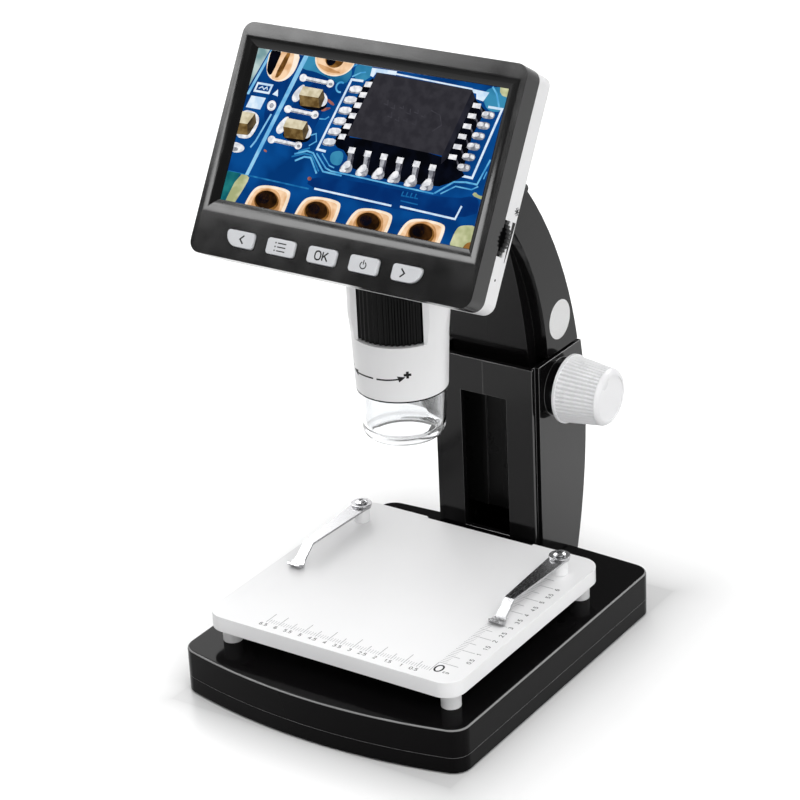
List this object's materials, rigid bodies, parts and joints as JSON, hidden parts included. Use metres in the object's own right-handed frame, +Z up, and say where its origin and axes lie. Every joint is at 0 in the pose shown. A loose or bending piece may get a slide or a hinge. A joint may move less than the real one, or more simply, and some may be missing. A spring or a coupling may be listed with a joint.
{
  "type": "lcd digital microscope",
  "caption": "Table-top digital microscope: tilted display head with lens barrel on a rack-focused arm over a ruled specimen stage with spring clips.",
  "frame": {"origin": "on the table, under the middle of the overall outline", "axes": "+Z up, +X to the user's right, -Y towards the user"},
  "size_m": [0.112, 0.1484, 0.2211],
  "materials": {
    "gloss_black": "high gloss moulded plastic",
    "satin_black": "satin moulded plastic",
    "bezel_black": "fine grained satin plastic",
    "wheel_black": "satin ribbed plastic",
    "white_plastic": "smooth white plastic",
    "knob_plastic": "smooth white plastic",
    "button_silver": "silver lacquered keys",
    "clear_plastic": "clear polycarbonate",
    "screen_glass": "flat cover glass",
    "screen": null,
    "lens_glass": "coated glass",
    "lens_metal": "black anodised",
    "bright_steel": "polished spring steel",
    "screw_steel": "zinc plated",
    "brass": "machined",
    "iron": "plain plate",
    "rubber": "matt rubber",
    "circuit_board": "solder mask",
    "battery_foil": "foil pouch",
    "led_white": "white"
  },
  "bodies": {
    "stand": {"base_cover": "gloss_black", "base_pan": "satin_black", "ballast_plate": "iron", "base_feet": "rubber", "base_screws": "screw_steel", "stage_plate": "white_plastic", "stage_screws": "screw_steel", "clip_posts": "white_plastic", "clip_screws": "bright_steel", "column_left": "gloss_black", "column_right": "gloss_black", "column_screws": "screw_steel", "column_foot_screws": "screw_steel", "axle_bushing_left": "brass", "axle_bushing_right": "brass"},
    "left_clip": {"clip_blade_left": "bright_steel", "clip_washer_left": "bright_steel"},
    "right_clip": {"clip_blade_right": "bright_steel", "clip_washer_right": "bright_steel"},
    "height_knobs": {"knob_right": "knob_plastic", "knob_left": "knob_plastic", "axle": "screw_steel", "pinion": "brass"},
    "carriage": {"arm_left": "gloss_black", "arm_right": "gloss_black", "arm_screws": "screw_steel", "slide_plate": "satin_black", "slide_screws": "screw_steel", "rack": "brass", "head_bracket": "satin_black", "display_bezel": "bezel_black", "display_glass": "screen_glass", "lcd_panel": "screen", "main_board": "circuit_board", "battery": "battery_foil", "button_board": "circuit_board", "display_shell": "white_plastic", "shell_screws": "screw_steel", "usb_port": "screw_steel", "card_slot": "screw_steel", "rear_bumper": "rubber", "barrel": "white_plastic", "ring_retainer": "satin_black", "sensor_board": "circuit_board", "led_board": "led_white", "leds": "led_white", "clear_cap": "clear_plastic", "dimmer_pot": "satin_black"},
    "focusing_ring": {"focus_ring": "wheel_black"},
    "lens_carrier": {"lens_cell": "lens_metal", "lens_glass": "lens_glass"},
    "dimmer": {"dimmer_wheel": "wheel_black"},
    "key_left": {"button_left": "button_silver"},
    "key_menu": {"button_menu": "button_silver"},
    "key_ok": {"button_ok": "button_silver"},
    "key_power": {"button_power": "button_silver"},
    "key_right": {"button_right": "button_silver"}
  },
  "joints": [
    {"name": "carriage_lift", "type": "slide", "parent": "stand", "child": "carriage", "axis": [0, 0, 1], "range_m": [0, 0.034]},
    {"name": "knob_turn", "type": "hinge", "parent": "stand", "child": "height_knobs", "pos_m": [0, 0.0563, 0.0805], "axis": [1, 0, 0], "range_deg": [-390, 0]},
    {"name": "left_clip_swing", "type": "hinge", "parent": "stand", "child": "left_clip", "pos_m": [-0.041, 0.0208, 0.0343], "axis": [0, 0, 1], "range_deg": [-130, 65]},
    {"name": "right_clip_swing", "type": "hinge", "parent": "stand", "child": "right_clip", "pos_m": [0.041, 0.0208, 0.0343], "axis": [0, 0, 1], "range_deg": [-65, 130]},
    {"name": "focus_turn", "type": "hinge", "parent": "carriage", "child": "focusing_ring", "pos_m": [0, -0.0093, 0.137], "axis": [0, 0, 1], "range_deg": [-150, 150]},
    {"name": "lens_travel", "type": "slide", "parent": "carriage", "child": "lens_carrier", "axis": [0, 0, 1], "range_m": [-0.00251, 0.00251]},
    {"name": "dimmer_turn", "type": "hinge", "parent": "carriage", "child": "dimmer", "pos_m": [0.0469, -0.02857, 0.17089], "axis": [0, -0.8625, 0.506], "range_deg": [-135, 135]},
    {"name": "key_left_press", "type": "slide", "parent": "carriage", "child": "key_left", "axis": [0, 0.8625, -0.506], "range_m": [0, 0.0006], "stiffness_N_per_m": 900},
    {"name": "key_menu_press", "type": "slide", "parent": "carriage", "child": "key_menu", "axis": [0, 0.8625, -0.506], "range_m": [0, 0.0006], "stiffness_N_per_m": 900},
    {"name": "key_ok_press", "type": "slide", "parent": "carriage", "child": "key_ok", "axis": [0, 0.8625, -0.506], "range_m": [0, 0.0006], "stiffness_N_per_m": 900},
    {"name": "key_power_press", "type": "slide", "parent": "carriage", "child": "key_power", "axis": [0, 0.8625, -0.506], "range_m": [0, 0.0006], "stiffness_N_per_m": 900},
    {"name": "key_right_press", "type": "slide", "parent": "carriage", "child": "key_right", "axis": [0, 0.8625, -0.506], "range_m": [0, 0.0006], "stiffness_N_per_m": 900}
  ],
  "couplings": [
    {"joint": "knob_turn", "follows": "carriage_lift", "rad_per_m": -200},
    {"joint": "lens_travel", "follows": "focus_turn", "m_per_rad": 0.00095493}
  ]
}
